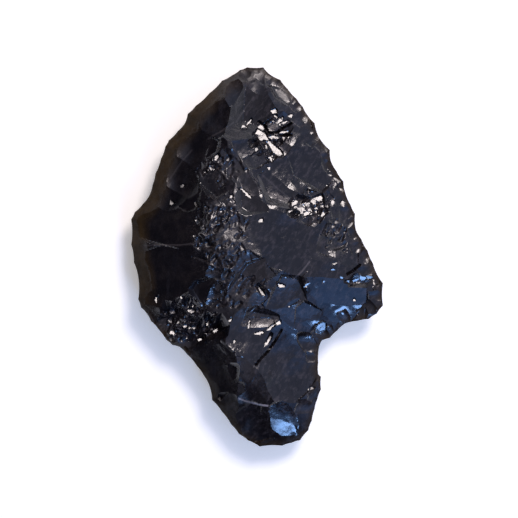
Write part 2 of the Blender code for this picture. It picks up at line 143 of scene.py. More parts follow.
STEM_FLAKES = [
    ((6.8, -10.8), (4.3, -10.3), 1.1, 0.20),
    ((7.1, -14.5), (4.6, -14.1), 1.3, 0.20),
    ((6.4, -16.8), (4.4, -16.3), 1.0, 0.12),
    ((-1.2, -20.4), (-1.0, -16.1), 1.8, 0.45),
    ((-2.3, -19.2), (-0.9, -17.2), 1.2, 0.30),
    ((-4.4, -16.7), (-2.3, -15.7), 1.2, 0.30),
    ((-5.6, -14.1), (-1.9, -13.2), 1.5, 0.40),
    ((-6.6, -12.2), (-2.1, -11.3), 1.5, 0.45),
    ((-7.7, -10.8), (-3.9, -9.4), 1.3, 0.45),
]
LEFT_BLADE_FLAKES = [
    ((-9.7, -9.7), (-7.2, -7.9), 1.2, 0.35),
    ((-11.2, -7.8), (-8.0, -6.3), 1.3, 0.40),
    ((-12.8, -5.4), (-8.8, -4.6), 1.2, 0.40),
    ((-13.5, -1.2), (-5.4, -0.8), 2.5, 0.60),
    ((-14.0, 4.0), (-5.9, 4.1), 2.5, 0.60),
    ((-12.1, 6.8), (-7.4, 7.2), 1.2, 0.40),
    ((-11.2, 9.7), (-6.6, 9.6), 1.7, 0.50),
    ((-9.7, 13.0), (-4.9, 12.3), 1.8, 0.50),
    ((-6.3, 17.3), (-2.6, 14.4), 2.2, 0.50),
    ((-3.4, 19.9), (-1.6, 17.2), 1.4, 0.40),
    ((-1.3, 20.9), (-0.8, 19.2), 0.8, 0.25),
]
FRONT_FLAKES = THINNING_FLAKES + RIGHT_BLADE_FLAKES + BARB_FLAKES + STEM_FLAKES + LEFT_BLADE_FLAKES

# Flakes that broke out of the middle of the obverse, given in the same way.
INNER_FLAKES = [
    ((-5.8, -6.9), (1.5, -1.3), 3.0, 0.45),
    ((-3.0, 11.2), (-5.6, 7.4), 1.7, 0.40),
    ((-6.4, 1.6), (-3.4, -2.6), 1.3, 0.35),
    ((2.2, -1.9), (4.6, -4.8), 1.5, 0.35),
]

# Flat facets: middle, half length, half width, heading of the length, depth, slope, and the heading it
# slopes down to. Headings are in degrees round from +X.
FACETS = [
    ((-0.3, -3.4), 3.6, 2.2, 35, 0.15, 0.06, 210),
    ((3.4, -5.1), 2.8, 2.1, 80, 0.00, 0.20, -18),
    ((5.5, -7.0), 1.9, 1.5, 70, 0.02, 0.27, -32),
    ((9.2, -4.7), 4.0, 3.2, 120, 0.15, 0.36, -44),
    ((12.1, -2.2), 1.6, 0.7, 6, 0.08, 0.44, -66),
    ((12.9, -4.7), 1.7, 1.3, 90, 0.06, 0.16, -10),
    ((0.5, -7.6), 2.1, 1.4, 20, 0.03, 0.30, 60),
    ((-0.8, 8.2), 2.1, 1.1, -50, 0.15, 0.06, 80),
    ((-4.2, 9.0), 2.2, 1.8, 60, 0.15, 0.22, 175),
    ((0.9, 17.4), 3.0, 2.3, 70, 0.15, 0.12, 165),
    ((-0.4, 20.2), 1.0, 0.7, 10, 0.04, 0.30, 82),
    ((2.9, 18.2), 1.3, 0.8, -50, 0.08, 0.38, 50),
    ((3.0, -18.9), 2.8, 2.4, 60, 0.24, 0.40, -63),
    ((0.2, -13.4), 2.9, 2.0, 80, 0.06, 0.24, -80),
    ((-0.9, -17.8), 1.8, 1.4, 60, 0.00, 0.42, -102),
    ((9.0, 8.4), 2.2, 0.9, -65, 0.02, 0.36, 58),
    ((-9.8, -1.2), 4.3, 2.9, 5, 0.10, 0.50, 188),
    ((-9.9, 4.1), 4.3, 2.9, 0, 0.10, 0.50, 172),
    ((-7.4, 6.4), 1.5, 0.9, 50, 0.06, 0.45, 172),
    ((-5.2, 12.0), 1.1, 0.7, 60, 0.06, 0.42, 165),
    ((6.0, 10.6), 3.2, 2.1, -50, 0.12, 0.30, 8),
    ((4.0, 1.2), 3.6, 2.6, 10, 0.08, 0.22, 5),
    ((2.5, 7.9), 2.4, 1.3, -40, 0.10, 0.12, 20),
    ((0.3, 6.1), 2.3, 1.3, -15, 0.12, 0.06, 200),
    ((1.2, 12.7), 1.9, 0.6, -44, 0.15, 0.35, 56),
]

# Places where blow after blow stopped short and crushed the stone: middle, half extents, number of chips.
CRUSHED_PLACES = [
    ((1.8, 13.2), (2.0, 2.6), 7),
    ((6.0, 5.6), (2.4, 1.6), 8),
    ((-3.8, 2.2), (3.2, 4.6), 20),
    ((-3.8, 9.6), (2.2, 1.8), 5),
    ((-8.0, -7.2), (3.8, 2.3), 12),
    ((-1.6, -4.0), (3.4, 2.2), 6),
    ((9.0, 2.0), (1.2, 2.4), 4),
]
CHIP_SIZE = 1.1
CHIP_LENGTHS = (0.9, 1.8)  # least and most, as shares of that size, as the next two are
CHIP_HALF_WIDTHS = (0.5, 0.9)
CHIP_DEPTHS = (0.06, 0.22)
CHIP_SEED = 11

# The reverse is worked all round with flakes of about this pitch. Pairs are the least and the most.
BACK_PITCH = 4.3
BACK_LENGTHS = (6.0, 9.5)
BACK_HALF_WIDTHS = (0.5, 0.75)  # as shares of the pitch
BACK_DEPTHS = (0.55, 0.95)
BACK_SKEW = 0.3  # radians that a flake may turn from straight inwards
BACK_STEP = 0.5  # between the outline's points here
BACK_SEED = 5

# What the solid leaves out, in millimetres.
RIPPLE = 0.005  # height of the ripples that spread from each blow, in a scar as long as RIPPLE_SCAR
RIPPLE_SCAR = 5
RIPPLE_MOST = 1.6  # how many times that height they have at most, in longer scars
RIPPLE_LENGTH = 0.95  # from one ripple to the next, about
RIPPLE_GROWTH = (0.6, 0.08)  # share of that length in the shortest scars, and what each mm of scar adds
WAVE = 0.006  # of the unevenness all over each face
WAVES = [(5.1, 2.3, 1), (-3.7, 4.9, 2), (1.9, 7.3, 0)]  # each one's number along x, along y, and its start

# Fine chips in the crushed places. Pairs are the least and the most.
FINE_CHIPS = 3.6  # for each large one
FINE_CHIP_SIZE = 0.42
FINE_HALF_LENGTHS = (0.7, 1.7)  # as shares of that size
FINE_HALF_WIDTHS = (0.25, 0.6)  # the same
FINE_HEADINGS = (0.2, 1.7)  # radians
FINE_DOWNHILL = (0, 0.75 * math.tau)  # the headings they slope down to, which leave out the lower right
FINE_DEPTHS = (0.03, 0.10)
FINE_SLOPES = (0.1, 0.5)
FINE_SEED = 23

# Sparkles in the same places: tiny facets that face the key light.
SPARKLES = 1.6  # for each large chip
SPARKLE_HALF_LENGTHS = (0.12, 0.34)
SPARKLE_HALF_WIDTHS = (0.06, 0.14)
SPARKLE_DEPTH = 0.03
SPARKLE_SLOPE_RANGE = 0.12  # how far they stray from the slope that faces the light best
SPARKLE_TURN_RANGE = 20  # degrees that they stray from its heading
GLINT_HOLLOW = 0.02  # depth of these and the other smallest facets, for each mm of their half width

# The nibbling along the right edge, on both faces. The left edge and the base are rubbed smooth.
RETOUCH_PITCH = 1.25
RETOUCH_STEPS = (0.6, 1.4)  # as shares of that pitch, as the half widths are
RETOUCH_HALF_WIDTHS = (0.35, 0.6)
RETOUCH_LENGTHS = (0.5, 1.7)
RETOUCH_PROFILE = (0.0, 0.07, 0.06)  # depth at start, middle and end, for each mm of length
RETOUCH_SKEW = 0.35  # radians that a flake may turn from straight inwards
RETOUCH_FROM = (-1, -16.5)  # the least x and the least y that it has
RETOUCH_STEP = 0.25  # between the outline's points here
RETOUCH_SEED = 31

# More facets, given as those of the solid are.
MORE_FACETS = [
    ((6.2, 5.7), 1.8, 1.2, 20, 0.02, 0.27, 58),
    ((2.1, 13.1), 1.9, 1.3, -44, 0.02, 0.24, 55),
    ((0.3, -7.7), 1.7, 1.15, 20, 0.03, 0.34, 61),
    ((-5.3, -3.7), 1.6, 1.3, 40, 0.08, 0.40, 195),
    ((-1.9, -14.9), 1.0, 0.6, 80, 0.10, 0.16, -95),
    ((-2.9, -12.9), 1.0, 0.7, 70, 0.06, 0.42, 195),
]

GLANCE_SLOPE = 0.38  # of the facets that catch the key light
GLANCE_HEADING = 60  # that they slope down to, in degrees round from +X

# Small facets that face up and to the right, towards the key light: middle, half length, half width,
# heading in degrees, and depth.
GLANCING_CHIPS = [
    ((2.5, 11.4), 0.40, 0.30, -30, 0.10),
    ((0.5, 14.3), 0.48, 0.34, 10, 0.10),
    ((1.9, 13.2), 0.50, 0.22, 0, 0.08),
    ((-1.4, 14.4), 0.40, 0.26, 20, 0.08),
    ((-0.9, 14.9), 0.45, 0.12, 50, 0.08),
    ((1.85, 16.0), 0.40, 0.36, 60, 0.08),
    ((2.2, 15.4), 0.50, 0.12, -45, 0.06),
    ((3.0, 13.8), 0.60, 0.18, 3, 0.08),
    ((2.9, 14.8), 0.62, 0.18, 27, 0.08),
    ((3.7, 15.6), 0.32, 0.20, 10, 0.08),
    ((0.0, 11.8), 0.26, 0.22, 0, 0.08),
    ((1.5, 10.8), 0.36, 0.16, -60, 0.08),
    ((1.3, 9.8), 0.20, 0.16, 0, 0.06),
    ((-1.2, 9.4), 0.26, 0.20, 60, 0.06),
    ((6.6, 6.3), 0.75, 0.38, 30, 0.10),
    ((6.9, 5.5), 0.60, 0.20, 15, 0.08),
    ((6.6, 5.0), 0.30, 0.16, -20, 0.06),
    ((4.2, 5.9), 0.45, 0.30, 65, 0.10),
    ((3.7, 5.0), 0.30, 0.18, 0, 0.06),
    ((5.5, 4.8), 0.50, 0.22, 20, 0.08),
    ((7.3, 4.7), 0.40, 0.18, 50, 0.06),
    ((5.2, 5.6), 0.25, 0.14, -30, 0.06),
    ((9.5, 5.9), 0.28, 0.34, 0, 0.08),
    ((-4.5, 10.8), 0.50, 0.16, 62, 0.06),
    ((-3.2, 10.6), 0.38, 0.22, 65, 0.08),
    ((-3.7, 9.3), 0.45, 0.14, -40, 0.06),
    ((-8.3, 7.8), 0.28, 0.18, 15, 0.08),
    ((-9.5, 6.0), 0.30, 0.20, -50, 0.06),
    ((-6.8, 5.8), 0.42, 0.18, -50, 0.08),
    ((-5.2, 4.8), 0.36, 0.12, 30, 0.06),
    ((-4.0, 4.9), 0.34, 0.16, 10, 0.06),
    ((-2.9, 6.5), 0.40, 0.14, 45, 0.06),
    ((0.5, 6.7), 0.24, 0.18, 0, 0.06),
    ((-1.0, 6.8), 1.15, 0.13, -44, 0.06),
    ((0.4, 4.0), 0.34, 0.16, 25, 0.06),
    ((-2.7, 1.1), 0.30, 0.16, 60, 0.06),
    ((-4.1, 1.0), 0.28, 0.24, 30, 0.08),
    ((-1.6, 0.9), 0.50, 0.20, -60, 0.08),
    ((-5.4, -0.1), 0.40, 0.14, 80, 0.06),
    ((-5.6, 1.1), 0.60, 0.09, 5, 0.05),
    ((-3.2, 3.3), 0.35, 0.14, 70, 0.06),
    ((-2.0, 3.0), 0.30, 0.12, -30, 0.06),
    ((-1.8, -2.4), 0.24, 0.18, 20, 0.06),
    ((0.55, -4.0), 0.90, 0.20, -58, 0.08),
    ((2.7, -3.2), 0.42, 0.20, -15, 0.08),
    ((8.0, 0.6), 0.26, 0.20, 0, 0.06),
    ((8.6, -0.7), 0.30, 0.16, 30, 0.06),
    ((8.4, 3.4), 0.24, 0.20, 0, 0.06),
    ((11.1, -1.1), 0.50, 0.11, 43, 0.06),
    ((10.8, -4.8), 0.20, 0.16, -30, 0.05),
    ((-11.2, -4.8), 0.40, 0.16, 80, 0.06),
    ((-8.2, -4.6), 0.45, 0.13, -45, 0.06),
    ((-7.3, -6.0), 0.42, 0.26, -25, 0.08),
    ((-7.7, -5.4), 0.30, 0.12, -60, 0.06),
    ((-10.5, -7.8), 0.30, 0.20, -35, 0.08),
    ((-9.4, -8.5), 0.44, 0.26, -40, 0.08),
    ((-8.8, -7.3), 0.26, 0.12, 40, 0.06),
    ((-8.0, -7.7), 0.32, 0.16, 20, 0.06),
    ((-7.1, -7.9), 0.40, 0.20, 15, 0.08),
    ((-5.5, -7.4), 0.34, 0.14, 75, 0.06),
    ((-4.8, -8.3), 0.58, 0.18, 32, 0.08),
    ((-6.5, -9.2), 0.44, 0.16, 10, 0.06),
    ((-3.0, -7.0), 0.30, 0.14, 40, 0.06),
    ((-2.5, -9.3), 0.26, 0.14, 60, 0.06),
    ((-0.9, -7.5), 0.60, 0.13, 80, 0.06),
    ((0.2, -8.4), 0.55, 0.16, 10, 0.08),
    ((1.4, -7.9), 0.80, 0.14, 40, 0.08),
    ((2.3, -7.3), 0.36, 0.20, 20, 0.06),
    ((1.0, -9.6), 1.20, 0.15, 56, 0.08),
    ((-4.2, -15.8), 0.34, 0.18, 70, 0.06),
    ((6.0, -14.6), 0.38, 0.18, 10, 0.06),
    ((0.65, 13.25), 1.05, 0.42, -45, 0.12),
    ((1.95, 11.95), 1.15, 0.34, -47, 0.12),
    ((8.2, 9.9), 0.55, 0.26, -62, 0.10),
    ((8.8, 8.8), 0.70, 0.32, -60, 0.10),
    ((9.4, 7.6), 0.55, 0.26, -66, 0.10),
]

# Small facets that face down and to the right, towards the blue windows. Each also has its slope and the
# heading it slopes down to.
WINDOW_CHIPS = [
    ((13.3, -2.3), 0.42, 0.40, -10, 0.02, 0.45, -69),
    ((12.6, -2.15), 0.45, 0.44, 0, 0.02, 0.45, -69),
    ((11.8, -2.2), 0.50, 0.38, 10, 0.02, 0.45, -68),
    ((11.0, -2.55), 0.50, 0.20, 15, 0.02, 0.45, -68),
    ((10.2, -2.7), 0.45, 0.14, 0, 0.02, 0.45, -67),
    ((9.3, -2.2), 0.36, 0.14, -45, 0.02, 0.45, -67),
    ((8.5, -1.4), 0.42, 0.14, 0, 0.02, 0.45, -67),
    ((7.4, -2.7), 0.20, 0.16, 0, 0.02, 0.45, -66),
    ((5.6, -3.0), 0.75, 0.15, 30, 0.02, 0.45, -65),
    ((7.1, -7.9), 0.80, 0.50, 60, 0.05, 0.43, -64),
    ((6.7, -7.7), 0.34, 0.12, -35, 0.02, 0.43, -64),
    ((4.2, -19.2), 0.60, 0.20, -72, 0.02, 0.40, -60),
]

# Painted highlights along ridges and the hinge's lip, where they catch the light: how bright from 0 to 1,
# and the points that each runs through.
HIGHLIGHT_LINES = [
    (0.025, [(-0.4, 17.7), (-1.2, 16.6), (-2.3, 14.9)]),
    (0.025, [(-2.6, 14.8), (-3.8, 13.9), (-5.4, 13.0)]),
    (0.020, [(-7.2, 11.8), (-8.3, 10.6), (-9.6, 8.7)]),
    (0.035, [(-12.5, 1.25), (-10.4, 1.35), (-8.6, 1.30), (-7.0, 1.45)]),
    (0.025, [(-5.9, 8.6), (-6.2, 9.4), (-5.2, 10.6)]),
    (0.025, [(0.6, 9.0), (2.2, 7.6), (4.0, 6.1)]),
    (0.080, [(5.8, -0.5), (5.0, -1.5), (4.0, -2.5)]),
    (0.180, [(-2.0, -15.6), (-1.2, -15.9), (-0.5, -16.1)]),
    (0.420, [(-0.5, -16.1), (0.3, -16.3), (1.2, -16.4)]),
]
HIGHLIGHT_WIDTH = 0.09

# Where the surface is dull and its ridges are rounded: middle, and how far it reaches along x and along y.
DULL_PLACES = [
    ((-3.2, 1.4), (4.4, 5.6)),
    ((-2.4, 9.6), (2.8, 2.6)),
    ((-1.8, -4.6), (3.0, 2.6)),
    ((0.4, 20.0), (2.4, 1.6)),
    ((2.9, 18.2), (1.5, 1.7)),
    ((8.9, 2.4), (1.6, 4.2)),
]

# Where the surface is smoothest, given in the same way.
CALM_PLACES = [
    ((2.8, -18.9), (3.2, 2.8)),
    ((9.6, -4.2), (6.2, 5.4)),
    ((-0.3, 18.0), (2.4, 2.6)),
    ((-10.0, 1.5), (5.0, 6.0)),
]

# Where the stone is rubbed so matt that little shines in it, given in the same way.
RUBBED_PLACES = [
    ((-7.6, 6.4), (3.0, 2.6)),
]

# Narrow open cracks, each as the points that it runs through.
CRACKS = [
    [(2.7, -8.1), (1.9, -9.4), (1.2, -10.4), (0.5, -11.1), (-0.1, -11.8)],
    [(0.2, 15.0), (0.8, 14.6), (1.3, 13.7), (2.2, 13.8), (2.9, 14.3), (3.8, 14.8)],
    [(2.6, 13.5), (3.8, 13.5)],
    [(10.0, -1.9), (10.8, -1.4), (11.4, -0.9)],
]
CRACK_WIDTH = 0.15  # from its middle line to either lip
CRACK_DEPTH = 0.5

# How the marks of the surface fade, in millimetres and in shares of full strength.
THIN_REACH = 0.55  # from the edge to where the painted brown glow of light seen through the thin glass has mostly faded
THIN_MOST = 0.7
BEVEL_REACH = 1.9  # over which the worn band along the bevel fades; the brown glow of light seen through the glass is painted on it too
BEVEL_FULLNESS = 1.15  # how many reaches from the edge it ends
BEVEL_GAIN = 1.6
STEM_REACH = 2.4  # over which the worn band along the left of the stem fades
STEM_FULLNESS = 1.8  # how many reaches from the edge it ends
STEM_TOP = -9  # the y above which there is none
STEM_FADE = 3  # below that, the length over which it takes hold
LINE_FULLNESS = 1.3  # how many widths from its middle a painted highlight line ends
PLACE_GAIN = 1.6  # how fast a mark takes hold from a place's border inwards
CRUSHED_SPREAD = 1.3  # how far the frosting reaches past the crushed places
SOFT_FROM = 0.3  # how far inside a dull place, from 0 to 1, the ridges are rounded

# The colours of the glass. In a list, each follows the value of the noise that it stands for.
BLACKS = [
    (0.30, (0.0022, 0.0024, 0.0036)),
    (0.46, (0.0042, 0.0036, 0.0050)),
    (0.58, (0.0080, 0.0066, 0.0076)),
    (0.72, (0.0140, 0.0116, 0.0108)),
]
BAND_GREY = (0.016, 0.015, 0.019)
FLECK_PINK = (0.035, 0.029, 0.031)
# The glass's own smoky browns, painted bright near the thin edges and along the bevel as a painted glow of
# light shining through.
SEEN_THROUGH_BROWNS = [(0.35, (0.020, 0.012, 0.005)), (0.65, (0.038, 0.024, 0.011))]
FROST = (0.085, 0.068, 0.064)
# Colour of the painted highlights, warm like the key light.
HIGHLIGHT_TINT = (1.0, 0.86, 0.84)

# The colours of the room, from level (0) to straight up (1), and of what stands in it.
ROOM_COLOURS = [
    (0.0, (0.72, 0.76, 0.88)),
    (0.45, (0.54, 0.66, 1.02)),
    (0.80, (0.51, 0.56, 0.78)),
    (1.0, (0.56, 0.55, 0.69)),
]
PATCH_GREY = (0.42, 0.42, 0.55)
WALL_GREY = (0.43, 0.49, 0.73)  # to the right
GLOW_BLUE = (0.40, 0.66, 1.40)  # to the lower right
ROOM_DARK = (0.05, 0.045, 0.055)

# The lights: tilt from straight up and heading round from +X in degrees, size and distance in metres,
# colour and brightness.
LIGHTS = {
    "key": (42, 60, 0.11, 0.35, (1.0, 0.91, 0.88), 17),
    "glow": (38, 64, 0.18, 0.36, (1.0, 0.85, 0.86), 2.4),
    "window": (47, -56, 0.22, 0.35, (0.19, 0.42, 1.0), 1.05),
    "window_middle": (50, -64, 0.065, 0.345, (0.28, 0.51, 1.0), 19),
}
FLOOR_HALF = 0.6  # metres
FLOOR_LOOKS = {
    "Base Color": (0.94, 0.92, 0.88, 1),
    "Roughness": 0.9,
    "Emission Color": (1.0, 0.98, 0.94, 1),
    "Emission Strength": 0.32,
}
LENS, SENSOR_WIDTH = 150, 36  # millimetres
CAMERA_ASIDE = 0.00022  # metres to the right of the origin, and towards the base
CAMERA_HEIGHT = 0.240  # metres above the plane of the edge


def edge_line(cusps, spacing):
    """Points about spacing apart from the first cusp up to the last, with each bite bowed inwards."""
    line = []
    for (ax, ay), (bx, by) in zip(cusps, cusps[1:]):
        pieces = max(1, round(math.hypot(bx - ax, by - ay) / spacing))
        for i in range(pieces):
            t = i / pieces
            bow = BITE * 4 * t * (1 - t)
            line.append((ax + (bx - ax) * t + (by - ay) * bow, ay + (by - ay) * t - (bx - ax) * bow))
    return np.array(line + cusps[-1:])


def outline(spacing):
    """The whole outline, anticlockwise, as points about spacing apart."""
    return edge_line(RIGHT_SIDE + LEFT_SIDE + RIGHT_SIDE[:1], spacing)[:0:-1]


def left_edge():
    return edge_line(LEFT_SIDE + RIGHT_SIDE[:1], 1.0)


def right_edge():
    return edge_line(RIGHT_SIDE + LEFT_SIDE[:1], 1.0)


def distance_to(line, x, y):
    """How far each point is from an open line."""
    nearest = np.full(x.shape, np.inf)
    for (ax, ay), (bx, by) in zip(line, line[1:]):
        ex, ey = bx - ax, by - ay
        t = np.clip(((x - ax) * ex + (y - ay) * ey) / (ex * ex + ey * ey), 0, 1)
        nearest = np.minimum(nearest, np.hypot(x - ax - t * ex, y - ay - t * ey))
    return nearest


def distance_to_loop(loop, x, y):
    """How far each point is from a closed line."""
    return distance_to(np.vstack([loop, loop[:1]]), x, y)


def is_inside(loop, x, y):
    """Whether each point is inside a closed loop, by counting the sides to its right."""
    inside = np.zeros(x.shape, bool)
    for (ax, ay), (bx, by) in zip(loop, np.roll(loop, -1, axis=0)):
        if ay != by:
            spans = (ay > y) != (by > y)
            inside ^= spans & (x < ax + (y - ay) * (bx - ax) / (by - ay))
    return inside


def edge_height(x, y):
    """Height of the edge above the resting flat, as a surface that wanders up and down."""
    return EDGE_HEIGHT + EDGE_WANDER * np.sin(0.42 * y + 0.9) * np.cos(0.16 * x + 0.05 * y)


def edge_slopes(x, y):
    """How steeply that surface rises along x and along y."""
    nudge = 0.01
    rise_x = edge_height(x + nudge, y) - edge_height(x - nudge, y)
    rise_y = edge_height(x, y + nudge) - edge_height(x, y - nudge)
    return rise_x / (2 * nudge), rise_y / (2 * nudge)


def dome(t):
    """A quarter round: 0 at the edge, 1 and level from t = 1 on."""
    return 1 - (1 - np.minimum(t, 1)) ** 2


def backing(y):
    """Height of the left blade's blunt bevel, which fades out towards the tip and the shoulder."""
    from_shoulder = np.clip((y - BACKED_SPAN[0]) / BACKED_FADE[0], 0, 1)
    from_tip = np.clip((BACKED_SPAN[1] - y) / BACKED_FADE[1], 0, 1)
    return BACKED_EDGE * from_shoulder * from_tip


def front_blank(left, right, y):
    """Height of the unworked obverse at these distances from the left and the right edge."""
    bevel = backing(y)
    past_bevel = np.maximum(left - bevel / BEVEL_SLOPE, 0)
    from_left = bevel + (FRONT_RISE - bevel) * dome(past_bevel / LEFT_REACH)
    return np.minimum(from_left, FRONT_RISE * dome(right / RIGHT_REACH))


def back_blank(left, right, y):
    """Depth of the unworked reverse."""
    return BACK_RISE * dome(np.minimum(left, right) / BACK_REACH)


def wandered(x, y):
    """The points pushed about in slow waves, so that what is cut by them has lively ridges."""
    moved_x = x + RIDGE_WANDER * (np.sin(0.62 * y + 0.7) + 0.5 * np.sin(1.5 * y - 0.9 * x))
    moved_y = y + RIDGE_WANDER * (np.sin(0.55 * x + 2.0) + 0.5 * np.sin(1.3 * x + 0.8 * y))
    return moved_x, moved_y


def resolved(dx, dy, along):
    """An offset's parts along a direction and to the left of it."""
    return dx * along[0] + dy * along[1], dy * along[0] - dx * along[1]


class Scar:
    """The trough that one flake left: hollow across, rippled, with a broken wall where it snapped off."""

    def __init__(self, start, end, half_width, heights):
        self.start = start
        self.length = math.dist(start, end)
        self.along = ((end[0] - start[0]) / self.length, (end[1] - start[1]) / self.length)
        self.half_width = half_width
        self.heights = heights
        self.ripple = RIPPLE * min(self.length / RIPPLE_SCAR, RIPPLE_MOST)
        self.ripple_length = RIPPLE_LENGTH * (RIPPLE_GROWTH[0] + RIPPLE_GROWTH[1] * self.length)

    def height(self, x, y):
        x, y = wandered(x, y)
        forward, sideways = resolved(x - self.start[0], y - self.start[1], self.along)
        t = np.clip(forward / self.length, 0, 1)
        low, middle, high = self.heights
        floor = low + (4 * middle - 3 * low - high) * t + (2 * low + 2 * high - 4 * middle) * t * t
        out = np.hypot(forward, RIPPLE_CURVE * sideways)
        floor += self.ripple * np.sin(math.tau * out / self.ripple_length)
        side_walls = HOLLOW * sideways**2 / self.half_width
        past_end = np.hypot(forward, END_CURVE * sideways) - self.length
        end_walls = STEP_SLOPE * np.maximum(np.maximum(past_end, -forward), 0)
        return floor + side_walls + end_walls


class Facet:
    """A facet with six sides and two square ends, slightly hollow, with a steep broken wall all round.

    It is made with its middle at height 0. Headings are in radians.
    """

    def __init__(self, middle, half_length, half_width, heading, slope, downhill):
        self.middle = middle
        self.half_length, self.half_width = half_length, half_width
        self.along = (math.cos(heading), math.sin(heading))
        self.floor, self.step, self.hollow = 0, FACET_STEP + slope, FACET_HOLLOW
        rise_x, rise_y = edge_slopes(*middle)
        self.falls = (slope * math.cos(downhill) + rise_x, slope * math.sin(downhill) + rise_y)
        chance = 1.7 * middle[0] + 2.3 * middle[1]  # differs from facet to facet
        order = np.arange(FACET_SIDES)
        turns = math.tau / FACET_SIDES * order + FACET_JITTER[0] * np.sin(chance * (order + 1))
        uneven = 1 + FACET_JITTER[1] * np.sin(3 * turns + chance)
        across = np.array([np.cos(turns) / half_length, np.sin(turns) / half_width]) / uneven
        self.reaches = 1 / np.hypot(*across)
        self.sides = across * self.reaches

    def height(self, x, y):
        dx, dy = x - self.middle[0], y - self.middle[1]
        forward, sideways = resolved(dx, dy, self.along)
        past = [a * forward + b * sideways - reach for a, b, reach in zip(*self.sides, self.reaches)]
        past.append(np.abs(forward) - self.half_length)
        walls = self.step * np.maximum(np.maximum.reduce(past), 0)
        out = (forward / self.half_length) ** 2 + (sideways / self.half_width) ** 2
        hollow = self.hollow * self.half_width * out
        return self.floor - self.falls[0] * dx - self.falls[1] * dy + hollow + walls


class Face:
    """One face of the point, as heights above the plane of its edge."""

    def __init__(self, blank):
        self.blank = blank
        self.left_line, self.right_line = left_edge(), right_edge()
        self.cuts = []
        self.cracks = []

    def from_edges(self, x, y):
        return distance_to(self.left_line, x, y), distance_to(self.right_line, x, y)

    def layers(self, x, y):
        """Heights of every surface that could be the face: the steepest edge, the blank and the scars."""
        left, right = self.from_edges(x, y)
        heights = [BEVEL_SLOPE * np.minimum(left, right), self.blank(left, right, y)]
        return heights + [cut.height(x, y) for cut in self.cuts]

    def height(self, x, y):
        left, right = self.from_edges(x, y)
        cut = np.zeros(x.shape)
        for crack in self.cracks:
            cut = np.maximum(cut, CRACK_DEPTH * (1 - distance_to(crack, x, y) / CRACK_WIDTH))
        waves = sum(np.sin(a * x + b * y + start) for a, b, start in WAVES)
        surface = np.minimum.reduce(self.layers(x, y)) + WAVE / len(WAVES) * waves - cut
        return np.maximum(surface, THIN_WEDGE * np.minimum(left, right))

    def scar(self, start, end, half_width, depths, from_blank=False):
        """The scar of one flake, so far below the blank or the worked face at its start, middle and end."""
        x, y = np.array([start, ((start[0] + end[0]) / 2, (start[1] + end[1]) / 2), end]).T
        if from_blank:
            surface = self.blank(*self.from_edges(x, y), y)
        else:
            surface = self.height(x, y)
        ends = np.transpose(wandered(x, y))
        return Scar(ends[0], ends[2], half_width, surface - depths)

    def facet(self, middle, half_length, half_width, heading, depth, slope, downhill):
        """One facet, so far below the worked face at its middle."""
        facet = Facet(middle, half_length, half_width, heading, slope, downhill)
        facet.floor = self.height(*np.array([middle]).T)[0] - depth
        return facet

    def strike(self, flakes, profile, from_blank=False):
        """Takes off flakes. The profile says which shares of each one's depth it has from start to end."""
        for start, end, half_width, depth in flakes:
            self.cuts.append(self.scar(start, end, half_width, depth * np.array(profile), from_blank))

    def cut_facets(self, facets):
        """Takes off flat facets, given with their headings in degrees."""
        for middle, half_length, half_width, heading, depth, slope, downhill in facets:
            heading, downhill = math.radians(heading), math.radians(downhill)
            self.cuts.append(self.facet(middle, half_length, half_width, heading, depth, slope, downhill))

    def cut_glints(self, facets):
        """Takes off small facets with steep walls, each so far below the face's mean height along it."""
        for middle, half_length, half_width, heading, depth, slope, downhill in facets:
            heading, downhill = math.radians(heading), math.radians(downhill)
            reach = 0.6 * half_length * np.array([-1, 0, 1])
            x, y = middle[0] + reach * math.cos(heading), middle[1] + reach * math.sin(heading)
            chip = Facet(middle, half_length, half_width, heading, slope, downhill)
            chip.step, chip.hollow = STEP_SLOPE, GLINT_HOLLOW
            chip.floor = (self.height(x, y) - chip.height(x, y)).mean() - depth
            self.cuts.append(chip)

    def crush(self, middle, extents, count, rng):
        """Breaks chips at all angles out of one place, each from the face as it was before them."""
        chips = []
        for _ in range(count):
            x, y = random_place(middle, extents, rng)
            heading = rng.uniform(0, math.tau)
            length = CHIP_SIZE * rng.uniform(*CHIP_LENGTHS)
            half_width = CHIP_SIZE * rng.uniform(*CHIP_HALF_WIDTHS)
            start = (x - length / 2 * math.cos(heading), y - length / 2 * math.sin(heading))
            depths = CHIP_SIZE * rng.uniform(*CHIP_DEPTHS, 3)
            chips.append(self.scar(start, moved(start, heading, length), half_width, depths))
        self.cuts += chips

    def on_ridges(self, x, y, reach):
        """The points, with those within reach of a ridge moved onto it."""
        nudge = 1e-3
        nudges = (0, 0), (nudge, 0), (0, nudge)
        here, east, north = (np.array(self.layers(x + dx, y + dy)) for dx, dy in nudges)
        first, second = np.argpartition(here, (0, 1), axis=0)[:2]
        row = np.arange(len(x))
        gap = here[second, row] - here[first, row]
        slope_x = (east[second, row] - east[first, row] - gap) / nudge
        slope_y = (north[second, row] - north[first, row] - gap) / nudge
        step = -gap / (slope_x**2 + slope_y**2 + 1e-12)
        near = np.abs(step) * np.hypot(slope_x, slope_y) < reach
        return x + np.where(near, step * slope_x, 0), y + np.where(near, step * slope_y, 0)


def moved(point, heading, length):
    """The point so far away from this one."""
    return (point[0] + length * math.cos(heading), point[1] + length * math.sin(heading))


def random_place(middle, extents, rng):
    """A point anywhere in an ellipse."""
    turn, out = rng.uniform(0, math.tau), math.sqrt(rng.uniform())
    return (middle[0] + extents[0] * out * math.cos(turn), middle[1] + extents[1] * out * math.sin(turn))


def inward(loop, i, span):
    """The heading, in radians, of straight inwards at a point, from those span points ahead and behind."""
    ahead, behind = loop[(i + span) % len(loop)], loop[i - span]
    return math.atan2(ahead[1] - behind[1], ahead[0] - behind[0]) + math.pi / 2


